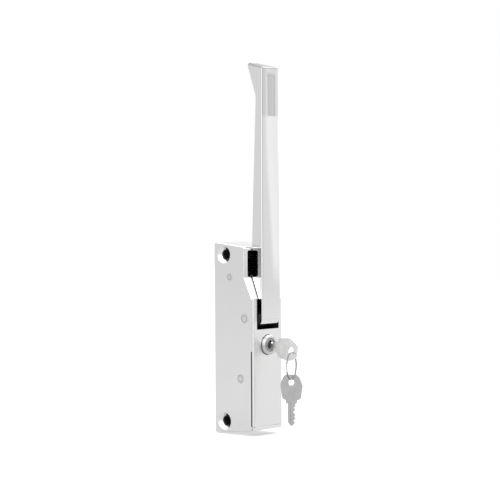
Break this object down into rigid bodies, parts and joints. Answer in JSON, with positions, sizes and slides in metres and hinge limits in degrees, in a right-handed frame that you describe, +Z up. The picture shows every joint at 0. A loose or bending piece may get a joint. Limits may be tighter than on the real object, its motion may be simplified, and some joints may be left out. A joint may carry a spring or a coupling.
{
  "type": "handle latch",
  "caption": "Edge-mounted lever handle latch with a drafted chrome case, long pull handle, inner roller pawl, cam lock, key, key ring and spare key.",
  "frame": {"origin": "on the flat mounting face, midway between the two mounting screw holes", "axes": "+Z up along the handle, -Y out of the front towards the person who pulls the handle, +X out of the mounting face into the door's edge"},
  "size_m": [0.0423, 0.0936, 0.3663],
  "materials": {
    "chrome_casting": "bright chrome plate on a zinc casting",
    "chrome_handle": "polished chrome plate",
    "pin_steel": "plated rivet steel",
    "inner_steel": "zinc plated sheet steel",
    "roller_steel": "turned steel",
    "spring_steel": "drawn spring wire",
    "washer_plastic": "natural nylon",
    "seat_plastic": "black nylon",
    "lock_chrome": "chrome plate, fine turned face",
    "plug_metal": "nickel plated, turned face",
    "key_nickel": "nickel plated, tumbled",
    "ring_wire": "bright wire"
  },
  "bodies": {
    "case": {"case_body": "chrome_casting", "front_cover": "chrome_casting", "lever_pin": "pin_steel", "pawl_pin": "pin_steel", "stop_pin": "pin_steel", "lever_washers": "washer_plastic", "pawl_spacers": "inner_steel", "spring_seat": "seat_plastic", "return_spring": "spring_steel", "lock_barrel": "lock_chrome", "lock_nut": "inner_steel"},
    "handle": {"handle": "chrome_handle", "link_pin": "inner_steel"},
    "links": {"pull_links": "inner_steel"},
    "pawl": {"pawl": "inner_steel", "roller_pin": "inner_steel"},
    "roller": {"pawl_roller": "roller_steel"},
    "lock": {"lock_plug": "plug_metal", "cam_tongue": "inner_steel", "cam_washer": "inner_steel", "cam_screw": "inner_steel", "key": "key_nickel"},
    "ring": {"key_ring": "ring_wire"},
    "spare": {"spare_key": "key_nickel"}
  },
  "joints": [
    {"name": "handle_turn", "type": "hinge", "parent": "case", "child": "handle", "pos_m": [-0.021, -0.027, 0.02], "axis": [1, 0, 0], "range_deg": [0, 22], "stiffness_Nm_per_rad": 3.2, "springref_deg": -8.59, "deforming": ["return_spring"]},
    {"name": "link_turn", "type": "hinge", "parent": "handle", "child": "links", "pos_m": [-0.021, -0.013, 0.016], "axis": [1, 0, 0], "range_deg": [-27, 0]},
    {"name": "pawl_turn", "type": "hinge", "parent": "case", "child": "pawl", "pos_m": [-0.021, -0.0216, -0.0392], "axis": [1, 0, 0], "range_deg": [0, 12]},
    {"name": "roller_spin", "type": "hinge", "parent": "pawl", "child": "roller", "pos_m": [-0.021, 0.002, -0.028], "axis": [1, 0, 0], "continuous": true},
    {"name": "lock_turn", "type": "hinge", "parent": "case", "child": "lock", "pos_m": [-0.021, -0.035, -0.006], "axis": [0, -1, 0], "range_deg": [0, 90]},
    {"name": "ring_swing", "type": "hinge", "parent": "lock", "child": "ring", "pos_m": [-0.021, -0.06979, -0.01187], "axis": [-0.9336, -0.3584, 0], "range_deg": [-12, 75]},
    {"name": "spare_key_swing", "type": "hinge", "parent": "ring", "child": "spare", "pos_m": [-0.021, -0.06979, -0.03887], "axis": [-0.9336, -0.3584, 0], "range_deg": [-12, 60]}
  ],
  "couplings": [
    {"joint": "link_turn", "follows": "handle_turn", "ratio": -1.1899},
    {"joint": "pawl_turn", "follows": "handle_turn", "ratio": 0.53266}
  ]
}
